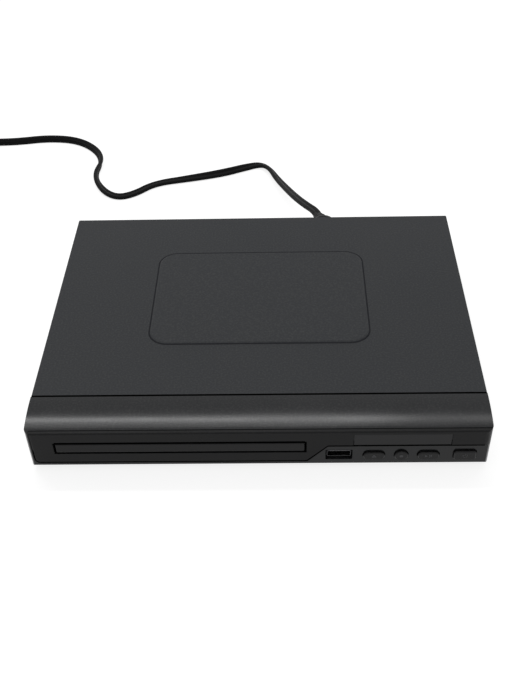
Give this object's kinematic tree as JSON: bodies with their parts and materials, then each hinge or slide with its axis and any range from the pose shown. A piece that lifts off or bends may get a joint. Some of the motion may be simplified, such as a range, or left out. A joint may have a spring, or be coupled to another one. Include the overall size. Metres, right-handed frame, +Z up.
{
  "type": "disc player with tray",
  "caption": "Low black disc player with a motor tray, display window, USB socket, front buttons, rear sockets and a flat mains cord put away in a coil.",
  "frame": {"origin": "bottom centre of the player's bounding box, measured without the cord", "axes": "+X to the right seen from the front, +Y to the rear, +Z up"},
  "size_m": [0.4387, 0.3774, 0.0352],
  "materials": {
    "cover_paint": "satin powder coat",
    "chassis_steel": "plain galvanised sheet",
    "bezel_plastic": "fine moulded grain",
    "fascia_plastic": "semi-gloss",
    "window_plastic": "smoked, polished",
    "button_plastic": "satin",
    "door_plastic": "satin",
    "tray_plastic": "satin",
    "mechanism_plastic": "plain moulding",
    "gear_plastic": "natural acetal",
    "rubber_black": "matte",
    "cord_pvc": "satin",
    "plug_pvc": "satin",
    "blade_brass": "plain",
    "plated_steel": "nickel plate",
    "screw_steel": "black zinc",
    "motor_steel": "plain",
    "board_green": "solder mask",
    "chip_black": "moulded",
    "collar_red": "gloss",
    "collar_white": "gloss",
    "collar_yellow": "gloss",
    "transformer_tape": "tape and ferrite",
    "can_sleeve": "sleeve",
    "fuse_glass": "clear",
    "flex_white": "flex film",
    "lead_brown": "satin",
    "lens_glass": "coated",
    "bridge_steel": "plain"
  },
  "bodies": {
    "case": {"top_cover": "cover_paint", "chassis_base": "chassis_steel", "rubber_feet": "rubber_black", "cover_screws": "screw_steel", "inner_screws": "plated_steel", "front_bezel": "bezel_plastic", "fascia_panel": "fascia_plastic", "display_window": "window_plastic", "display_module": "chip_black", "ir_receiver": "chip_black", "front_board": "board_green", "tact_switches": "chip_black", "usb_shell": "plated_steel", "hdmi_shell": "plated_steel", "socket_tongues": "chip_black", "loader_frame": "mechanism_plastic", "clamp_bridge": "bridge_steel", "loading_motor": "motor_steel", "damper_grommets": "rubber_black", "drive_belt": "rubber_black", "main_board": "board_green", "board_chips": "chip_black", "power_board": "board_green", "transformer": "transformer_tape", "capacitors": "can_sleeve", "mains_fuse": "fuse_glass", "av_jack_block": "chip_black", "jack_barrels": "plated_steel", "jack_collar_red": "collar_red", "jack_collar_white": "collar_white", "jack_collar_yellow": "collar_yellow", "strain_relief": "plug_pvc", "inlet_leads": "lead_brown", "flex_cable": "flex_white", "mains_cord": "cord_pvc", "mains_cord_coil": "cord_pvc", "mains_plug": "plug_pvc", "plug_blades": "blade_brass"},
    "tray": {"tray": "tray_plastic", "tray_door": "door_plastic"},
    "tray_gear": {"tray_gear": "gear_plastic"},
    "pulley_gear": {"pulley_gear": "gear_plastic"},
    "motor_pulley": {"motor_pulley": "gear_plastic"},
    "cam_slider": {"cam_slider": "gear_plastic"},
    "traverse": {"traverse": "mechanism_plastic", "spindle_motor": "motor_steel", "guide_rods": "plated_steel", "sled_motor": "motor_steel"},
    "turntable": {"turntable": "tray_plastic"},
    "clamper": {"clamper": "tray_plastic"},
    "lead_screw": {"lead_screw": "plated_steel"},
    "pickup_sled": {"pickup_sled": "mechanism_plastic"},
    "lens": {"lens_holder": "chip_black", "objective_lens": "lens_glass"},
    "open_close_button": {"open_close_button": "button_plastic"},
    "stop_button": {"stop_button": "button_plastic"},
    "play_pause_button": {"play_pause_button": "button_plastic"},
    "power_button": {"power_button": "button_plastic"}
  },
  "joints": [
    {"name": "tray_slide", "type": "slide", "parent": "case", "child": "tray", "axis": [0, -1, 0], "range_m": [0, 0.132]},
    {"name": "tray_gear_spin", "type": "hinge", "parent": "case", "child": "tray_gear", "pos_m": [-0.0891, -0.08303, 0.01675], "axis": [0, 0, 1], "range_deg": [0, 1080.9]},
    {"name": "pulley_gear_spin", "type": "hinge", "parent": "case", "child": "pulley_gear", "pos_m": [-0.0699, -0.08303, 0.01675], "axis": [0, 0, -1], "range_deg": [0, 3241.8]},
    {"name": "motor_pulley_spin", "type": "hinge", "parent": "case", "child": "motor_pulley", "pos_m": [-0.0359, -0.08303, 0.01675], "axis": [0, 0, -1], "range_deg": [0, 11289.2]},
    {"name": "traverse_tilt", "type": "hinge", "parent": "case", "child": "traverse", "pos_m": [-0.0421, 0.05097, 0.01205], "axis": [1, 0, 0], "range_deg": [0, 2.94]},
    {"name": "cam_slide", "type": "slide", "parent": "case", "child": "cam_slider", "axis": [1, 0, 0], "range_m": [0, 0.014]},
    {"name": "spindle_spin", "type": "hinge", "parent": "traverse", "child": "turntable", "pos_m": [-0.0421, -0.03104, 0.02095], "axis": [0, 0, 1], "continuous": true},
    {"name": "clamper_spin", "type": "hinge", "parent": "case", "child": "clamper", "pos_m": [-0.0421, -0.03104, 0.02095], "axis": [0, 0, 1], "continuous": true},
    {"name": "sled_slide", "type": "slide", "parent": "traverse", "child": "pickup_sled", "axis": [0, 1, 0], "range_m": [0, 0.035]},
    {"name": "lead_screw_spin", "type": "hinge", "parent": "traverse", "child": "lead_screw", "pos_m": [-0.0124, 0.00696, 0.01185], "axis": [0, 1, 0], "range_deg": [0, 4200.5]},
    {"name": "lens_focus", "type": "slide", "parent": "pickup_sled", "child": "lens", "axis": [0, 0, 1], "range_m": [-0.0006, 0.0006], "stiffness_N_per_m": 60},
    {"name": "open_close_press", "type": "slide", "parent": "case", "child": "open_close_button", "axis": [0, 0.9976, 0.0698], "range_m": [0, 0.0006], "stiffness_N_per_m": 1500},
    {"name": "stop_press", "type": "slide", "parent": "case", "child": "stop_button", "axis": [0, 0.9976, 0.0698], "range_m": [0, 0.0006], "stiffness_N_per_m": 1500},
    {"name": "play_pause_press", "type": "slide", "parent": "case", "child": "play_pause_button", "axis": [0, 0.9976, 0.0698], "range_m": [0, 0.0006], "stiffness_N_per_m": 1500},
    {"name": "power_press", "type": "slide", "parent": "case", "child": "power_button", "axis": [0, 0.9976, 0.0698], "range_m": [0, 0.0006], "stiffness_N_per_m": 1500}
  ],
  "couplings": [
    {"joint": "tray_gear_spin", "follows": "tray_slide", "rad_per_m": 142.86},
    {"joint": "pulley_gear_spin", "follows": "tray_slide", "rad_per_m": 428.57},
    {"joint": "motor_pulley_spin", "follows": "tray_slide", "rad_per_m": 1492.6},
    {"joint": "cam_slide", "follows": "traverse_tilt", "m_per_rad": 0.2732},
    {"joint": "clamper_spin", "follows": "spindle_spin", "ratio": 1},
    {"joint": "lead_screw_spin", "follows": "sled_slide", "rad_per_m": 2094.4}
  ]
}
